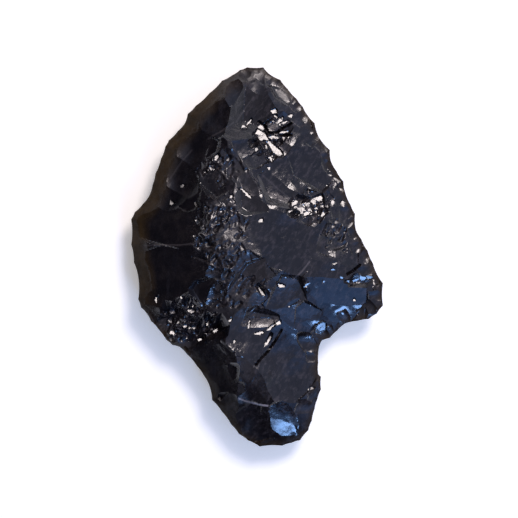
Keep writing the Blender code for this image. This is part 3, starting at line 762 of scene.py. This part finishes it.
def back_flakes():
    """Flakes struck at even steps all round the reverse, each towards the middle line."""
    rng = np.random.default_rng(BACK_SEED)
    loop = outline(BACK_STEP)
    flakes = []
    for i in np.arange(0, len(loop), BACK_PITCH / BACK_STEP).astype(int):
        heading = inward(loop, i, 4) + rng.uniform(-BACK_SKEW, BACK_SKEW)
        end = moved(loop[i], heading, rng.uniform(*BACK_LENGTHS))
        half_width = BACK_PITCH * rng.uniform(*BACK_HALF_WIDTHS)
        flakes.append((tuple(loop[i]), end, half_width, rng.uniform(*BACK_DEPTHS)))
    return flakes


def nibble(face, rng):
    """Takes little flakes off along the right edge."""
    loop = outline(RETOUCH_STEP)
    at = 0.0
    while at < len(loop):
        start = loop[int(at)]
        heading = inward(loop, int(at), 3) + rng.uniform(-RETOUCH_SKEW, RETOUCH_SKEW)
        length = rng.uniform(*RETOUCH_LENGTHS)
        at += RETOUCH_PITCH * rng.uniform(*RETOUCH_STEPS) / RETOUCH_STEP
        if start[0] < RETOUCH_FROM[0] or start[1] < RETOUCH_FROM[1]:
            continue
        half_width = RETOUCH_PITCH * rng.uniform(*RETOUCH_HALF_WIDTHS)
        depths = np.array(RETOUCH_PROFILE) * length
        face.cuts.append(face.scar(start, moved(start, heading, length), half_width, depths))


def fine_chips(face, rng):
    """Fine chips in the crushed places, each cut from the face as it is before them."""
    chips = []
    for middle, extents, count in CRUSHED_PLACES:
        for _ in range(round(FINE_CHIPS * count)):
            place = random_place(middle, extents, rng)
            half_length = FINE_CHIP_SIZE * rng.uniform(*FINE_HALF_LENGTHS)
            half_width = FINE_CHIP_SIZE * rng.uniform(*FINE_HALF_WIDTHS)
            heading, downhill = rng.uniform(*FINE_HEADINGS), rng.uniform(*FINE_DOWNHILL)
            depth, slope = rng.uniform(*FINE_DEPTHS), rng.uniform(*FINE_SLOPES)
            chip = face.facet(place, half_length, half_width, heading, depth, slope, downhill)
            chip.step = STEP_SLOPE
            chips.append(chip)
    return chips


def sparkles(rng):
    """Tiny facets in the crushed places, which all more or less face the key light."""
    facets = []
    for middle, extents, count in CRUSHED_PLACES:
        for _ in range(round(SPARKLES * count)):
            place = random_place(middle, extents, rng)
            half_length, half_width = rng.uniform(*SPARKLE_HALF_LENGTHS), rng.uniform(*SPARKLE_HALF_WIDTHS)
            slope = GLANCE_SLOPE + rng.uniform(-SPARKLE_SLOPE_RANGE, SPARKLE_SLOPE_RANGE)
            downhill = GLANCE_HEADING + rng.uniform(-SPARKLE_TURN_RANGE, SPARKLE_TURN_RANGE)
            heading = rng.uniform(0, 180)
            facets.append((place, half_length, half_width, heading, SPARKLE_DEPTH, slope, downhill))
    return facets


def worked_faces():
    """The obverse and the reverse, with every flake and chip off."""
    front = Face(front_blank)
    front.strike(FRONT_FLAKES, FLAKE_PROFILE, from_blank=True)
    front.strike(INNER_FLAKES, INNER_PROFILE)
    rng = np.random.default_rng(CHIP_SEED)
    for middle, extents, count in CRUSHED_PLACES:
        front.crush(middle, extents, count, rng)
    front.cut_facets(FACETS + MORE_FACETS)
    rng = np.random.default_rng(FINE_SEED)
    front.cuts += fine_chips(front, rng)
    front.cut_glints(sparkles(rng))
    nibble(front, np.random.default_rng(RETOUCH_SEED))
    glancing = [(*chip, GLANCE_SLOPE, GLANCE_HEADING) for chip in GLANCING_CHIPS]
    front.cut_glints(glancing + WINDOW_CHIPS)
    front.cracks = [np.array(crack) for crack in CRACKS]
    back = Face(back_blank)
    back.strike(back_flakes(), FLAKE_PROFILE, from_blank=True)
    nibble(back, np.random.default_rng(RETOUCH_SEED + 1))
    return front, back


def lattice(loop, spacing):
    """Points of a triangular grid that lie inside the outline and clear of it."""
    low, high = loop.min(axis=0), loop.max(axis=0)
    columns = np.arange(low[0], high[0], spacing)
    rows = np.arange(low[1], high[1], spacing * math.sqrt(3) / 2)
    x, y = np.meshgrid(columns, rows)
    x[1::2] += spacing / 2
    x, y = x.ravel(), y.ravel()
    inside = is_inside(loop, x, y)
    x, y = x[inside], y[inside]
    clear = distance_to_loop(loop, x, y) > EDGE_CLEARANCE * spacing
    return x[clear], y[clear]


def in_blocks(work, x, y, size=8000):
    """The results of work(x, y) done a block at a time, which keeps its tables small."""
    blocks = [work(x[i : i + size], y[i : i + size]) for i in range(0, len(x), size)]
    return tuple(np.concatenate(part) for part in zip(*blocks))


def stone_mesh(front, back):
    """Both faces as one closed mesh, sewn along the edge."""
    loop = outline(FRONT_SPACING)
    points = [(px, py, edge_height(px, py)) for px, py in loop]
    triangles = []
    for face, spacing, up in ((front, FRONT_SPACING, 1), (back, BACK_SPACING, -1)):
        x, y = in_blocks(lambda u, v: face.on_ridges(u, v, RIDGE_PULL * spacing), *lattice(loop, spacing))
        flat = [Vector(p) for p in loop] + [Vector(p) for p in zip(x, y)]
        _, _, found, source, _, _ = delaunay_2d_cdt(flat, [], [list(range(len(loop)))], 1, 1e-7)
        shift = len(points) - len(loop)
        for corners in found:
            named = [source[c][0] for c in corners[::up]]
            triangles.append([c if c < len(loop) else c + shift for c in named])
        (rise,) = in_blocks(lambda u, v: (face.height(u, v),), x, y)
        points += list(zip(x, y, np.maximum(edge_height(x, y) + up * rise, 0)))
    mesh = bpy.data.meshes.new("stone")
    mesh.from_pydata([(px * MM, py * MM, pz * MM) for px, py, pz in points], [], triangles)
    mesh.validate()
    return mesh


def add(data, name):
    """Puts a new object into the scene."""
    made = bpy.data.objects.new(name, data)
    bpy.context.scene.collection.objects.link(made)
    return made


class Nodes:
    """A material's or a world's node tree, with short ways to add and join nodes."""

    def __init__(self, tree):
        self.tree = tree

    def feed(self, socket, value):
        """Gives a socket a value, or links it to the socket that the value comes from."""
        if isinstance(value, bpy.types.NodeSocket):
            self.tree.links.new(value, socket)
        else:
            socket.default_value = value

    def add(self, kind, inputs=None, **settings):
        node = self.tree.nodes.new(kind)
        for key, value in settings.items():
            setattr(node, key, value)
        for key, value in (inputs or {}).items():
            self.feed(node.inputs[key], value)
        return node

    def attribute(self, name):
        """What the mesh stores under this name."""
        return self.add("ShaderNodeAttribute", attribute_name=name).outputs["Fac"]

    def noise(self, where, scale, detail=3.0, roughness=0.55, distortion=0.0):
        """Noise with about scale lumps to a length of 1."""
        inputs = {"Vector": where, "Scale": scale, "Detail": detail, "Roughness": roughness}
        return self.add("ShaderNodeTexNoise", {**inputs, "Distortion": distortion}).outputs["Fac"]

    def ramp(self, value, *stops):
        node = self.add("ShaderNodeValToRGB", {"Fac": value})
        elements = node.color_ramp.elements
        while len(elements) < len(stops):
            elements.new(1.0)
        for element, (position, colour) in zip(elements, stops):
            element.position = position
            element.color = (*colour, 1)
        return node.outputs["Color"]

    def spread(self, value, low, high, to_low=0.0, to_high=1.0):
        """Takes low to to_low and high to to_high, with an even ease between them."""
        inputs = {"Value": value, "From Min": low, "From Max": high, "To Min": to_low, "To Max": to_high}
        return self.add("ShaderNodeMapRange", inputs, interpolation_type="SMOOTHSTEP").outputs[0]

    def facing(self, direction, centre, far, near):
        """0 where the direction is far from the centre one and 1 where it is near, as cosines."""
        towards = self.add("ShaderNodeVectorMath", {0: direction, 1: centre}, operation="DOT_PRODUCT")
        return self.spread(towards.outputs["Value"], far, near)

    def mix(self, factor, first, second):
        node = self.add("ShaderNodeMix", data_type="RGBA")
        self.feed(node.inputs[0], factor)
        for socket, colour in zip(node.inputs[6:8], (first, second)):
            self.feed(socket, (*colour, 1) if isinstance(colour, tuple) else colour)
        return node.outputs[2]

    def math(self, operation, *values):
        node = self.add("ShaderNodeMath", operation=operation)
        for socket, value in zip(node.inputs, values):
            self.feed(socket, value)
        return node.outputs[0]


def new_material(name):
    """A material and its shader."""
    material = bpy.data.materials.new(name)
    material.use_nodes = True
    return material, material.node_tree.nodes["Principled BSDF"]


def glass_colour(nodes, where, strokes):
    """Mottled, faintly banded black with pale flecks; a painted brown glow where the edge is thin and along
    the bevel, as if light shone through; paler where crushed; painted highlights along some ridges.
    """
    mottle = nodes.noise(where, 620, detail=6, roughness=0.68)
    colour = nodes.ramp(mottle, *BLACKS)
    stretch = {"Vector": where, "Rotation": (0.3, 0.2, 0.5), "Scale": (900, 120, 300)}
    across_bands = nodes.add("ShaderNodeMapping", stretch).outputs[0]
    bands = nodes.noise(across_bands, 1.0, detail=3, roughness=0.6, distortion=0.4)
    colour = nodes.mix(nodes.spread(bands, 0.5, 0.72, 0, 0.5), colour, BAND_GREY)

    east = nodes.add("ShaderNodeSeparateXYZ", {"Vector": where}).outputs["X"]
    flecks = nodes.spread(nodes.noise(strokes, 2300, detail=4, roughness=0.65), 0.47, 0.72)
    flecks = nodes.math("MULTIPLY", flecks, nodes.spread(east, -0.006, 0.0, 0.1, 0.9))
    colour = nodes.mix(flecks, colour, FLECK_PINK)

    # Painted glow: smoky brown laid where the edge is thin and along the bevel, as if light shone through
    # the glass.
    seen_through = nodes.ramp(nodes.noise(where, 700), *SEEN_THROUGH_BROWNS)
    colour = nodes.mix(nodes.attribute("edge_glow"), colour, seen_through)
    speckle = nodes.spread(nodes.noise(where, 4200, detail=2), 0.50, 0.75, 0, 0.7)
    frost = nodes.math("MULTIPLY", nodes.attribute("crushed"), speckle)
    colour = nodes.mix(frost, colour, FROST)
    # Painted highlights along ridges and the hinge's lip.
    return nodes.mix(nodes.attribute("painted_highlight"), colour, HIGHLIGHT_TINT)


def obsidian():
    """Black volcanic glass, duller in the dull places and where it is worn, with a faint grain."""
    material, shader = new_material("obsidian_glass")
    nodes = Nodes(material.node_tree)
    where = nodes.add("ShaderNodeTexCoord").outputs["Object"]
    stretch = {"Vector": where, "Rotation": (0, 0, 0.9), "Scale": (2.0, 1.0, 1.0)}
    strokes = nodes.add("ShaderNodeMapping", stretch, vector_type="TEXTURE").outputs[0]
    nodes.feed(shader.inputs["Base Color"], glass_colour(nodes, where, strokes))

    rough = nodes.spread(nodes.noise(where, 1500), 0.35, 0.75, 0.07, 0.22)
    worn = nodes.attribute("worn")
    for wear in (nodes.attribute("dull"), worn):
        rough = nodes.math("ADD", rough, nodes.math("MULTIPLY", wear, 0.20))
    nodes.feed(shader.inputs["Roughness"], rough)
    nodes.feed(shader.inputs["Specular IOR Level"], nodes.spread(worn, 0, 1, 0.5, 0.12))
    shader.inputs["IOR"].default_value = 1.5

    hackles = nodes.noise(where, 1100, detail=4, roughness=0.6)
    grain = nodes.noise(strokes, 2000, roughness=0.6)
    grain = nodes.math("MULTIPLY", grain, nodes.spread(nodes.attribute("crushed"), 0, 1, 0.4, 1.0))
    relief = nodes.math("ADD", hackles, grain)
    relief = nodes.math("MULTIPLY", relief, nodes.spread(nodes.attribute("calm"), 0, 1, 1.0, 0.25))
    bump = nodes.add("ShaderNodeBump", {"Height": relief, "Strength": 0.30, "Distance": 0.00012})
    nodes.feed(shader.inputs["Normal"], bump.outputs[0])
    return material


def within(places, x, y):
    """How far inside the places each point lies, from 0 at their borders to 1."""
    depths = [1 - np.hypot((x - px) / reach[0], (y - py) / reach[1]) for (px, py), reach in places]
    return np.clip(PLACE_GAIN * np.maximum.reduce(depths), 0, 1)


def beside(distance, reach, fullness):
    """1 on a line and near it, and 0 from fullness times reach away from it."""
    return np.clip(fullness - distance / reach, 0, 1)


def positions(mesh):
    """Where the mesh's points are, a row for each."""
    co = np.empty(len(mesh.vertices) * 3)
    mesh.vertices.foreach_get("co", co)
    return co.reshape(-1, 3) / MM


def surface_marks(mesh):
    """Stores, for each point, how strong the painted glow of the thin edge and the bevel is, how worn,
    crushed, dull and calm the stone is there, and how strong the painted highlights along its ridges are.
    """
    x, y, z = positions(mesh).T
    margin = distance_to_loop(outline(0.5), x, y)
    left = distance_to(left_edge(), x, y)
    bevel_band = beside(left, BEVEL_REACH, BEVEL_FULLNESS) * np.clip(backing(y) / BACKED_EDGE, 0, 1)
    # The painted glow of light seen through the thin edge and along the left bevel; it also marks these
    # parts as worn.
    edge_glow = THIN_MOST * np.exp(-((margin / THIN_REACH) ** 2))
    edge_glow = np.maximum(edge_glow, np.minimum(1, BEVEL_GAIN * bevel_band))
    stem_band = beside(left, STEM_REACH, STEM_FULLNESS) * np.clip((STEM_TOP - y) / STEM_FADE, 0, 1)
    upper = z > edge_height(x, y)
    crushed = [(middle, (CRUSHED_SPREAD * a, CRUSHED_SPREAD * b)) for middle, (a, b), _ in CRUSHED_PLACES]
    # Painted highlights along ridges and the hinge's lip, standing in for the light they catch.
    painted_highlight = np.zeros(len(x))
    for highlight_strength, line in HIGHLIGHT_LINES:
        from_line = distance_to(line, x, y)
        painted_highlight = np.maximum(painted_highlight, highlight_strength * beside(from_line, HIGHLIGHT_WIDTH, LINE_FULLNESS))
    marks = {
        "edge_glow": edge_glow,
        "worn": np.maximum.reduce([edge_glow, stem_band, upper * within(RUBBED_PLACES, x, y)]),
        "crushed": upper * within(crushed, x, y),
        "dull": upper * within(DULL_PLACES, x, y),
        "calm": upper * within(CALM_PLACES, x, y),
        "painted_highlight": upper * painted_highlight,
    }
    for name, values in marks.items():
        mesh.attributes.new(name, "FLOAT", "POINT").data.foreach_set("value", values.astype(np.float32))


def soften(mesh):
    """Shades the ridges round in the dull places of the obverse."""
    edges = np.empty(2 * len(mesh.edges), np.int32)
    mesh.edges.foreach_get("vertices", edges)
    x, y, z = positions(mesh)[edges[::2]].T
    sharp = np.empty(len(mesh.edges), bool)
    mesh.attributes["sharp_edge"].data.foreach_get("value", sharp)
    sharp &= (within(DULL_PLACES, x, y) < SOFT_FROM) | (z < edge_height(x, y))
    mesh.attributes["sharp_edge"].data.foreach_set("value", sharp)


def softbox(name, tilt, heading, size, distance, colour, brightness):
    """A round light that faces the stone from so far away."""
    tilt, heading = math.radians(tilt), math.radians(heading)
    aside = math.sin(tilt)
    towards = Vector((aside * math.cos(heading), aside * math.sin(heading), math.cos(tilt)))
    light = bpy.data.lights.new(name, "AREA")
    light.shape, light.size, light.color = "DISK", size, colour
    light.energy = brightness * math.pi * size * size
    lamp = add(light, name)
    lamp.location = towards * distance
    lamp.rotation_euler = towards.to_track_quat("Z", "Y").to_euler()


def room_light():
    """A room, bright overhead, to the right and past the tip, and dark to the left and past the base."""
    world = bpy.data.worlds.new("room")
    bpy.context.scene.world = world
    world.use_nodes = True
    nodes = Nodes(world.node_tree)
    direction = nodes.add("ShaderNodeTexCoord").outputs["Generated"]
    parts = nodes.add("ShaderNodeSeparateXYZ", {"Vector": direction}).outputs
    colour = nodes.ramp(nodes.spread(parts["Z"], 0.0, 1.0), *ROOM_COLOURS)
    patches = nodes.spread(nodes.noise(direction, 4.0), 0.35, 0.7)
    colour = nodes.mix(patches, colour, PATCH_GREY)
    wall = nodes.facing(direction, (0.585, 0.05, 0.81), 0.80, 0.98)
    colour = nodes.mix(wall, colour, WALL_GREY)
    blue_glow = nodes.facing(direction, (0.62, -0.50, 0.60), 0.83, 1.0)
    colour = nodes.mix(blue_glow, colour, GLOW_BLUE)
    not_left = nodes.spread(parts["X"], -0.60, 0.10)
    not_base = nodes.spread(parts["Y"], -0.70, -0.25)
    lit = nodes.math("MULTIPLY", not_left, not_base)
    colour = nodes.mix(lit, ROOM_DARK, colour)
    nodes.feed(world.node_tree.nodes["Background"].inputs["Color"], colour)


def floor():
    """A plain pale floor under the stone."""
    mesh = bpy.data.meshes.new("floor")
    corners = [(FLOOR_HALF * a, FLOOR_HALF * b, 0) for a, b in ((-1, -1), (1, -1), (1, 1), (-1, 1))]
    mesh.from_pydata(corners, [], [(0, 1, 2, 3)])
    material, shader = new_material("pale_floor")
    for name, value in FLOOR_LOOKS.items():
        shader.inputs[name].default_value = value
    mesh.materials.append(material)
    add(mesh, "floor")


def camera():
    """Straight above the stone, looking down."""
    lens = bpy.data.cameras.new("camera")
    lens.lens, lens.sensor_width = LENS, SENSOR_WIDTH
    eye = add(lens, "camera")
    eye.location = (CAMERA_ASIDE, -CAMERA_ASIDE, EDGE_HEIGHT * MM + CAMERA_HEIGHT)
    bpy.context.scene.camera = eye


camera()
floor()
room_light()
for lamp_name, settings in LIGHTS.items():
    softbox(lamp_name, *settings)
bpy.context.scene.view_settings.view_transform = "Standard"

surface = stone_mesh(*worked_faces())
surface_marks(surface)
surface.materials.append(obsidian())
surface.shade_smooth()
surface.set_sharp_from_angle(angle=RIDGE_ANGLE)
soften(surface)
stone = add(surface, "knapped_stone")
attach(stone, "root")
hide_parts("obsidian_point")
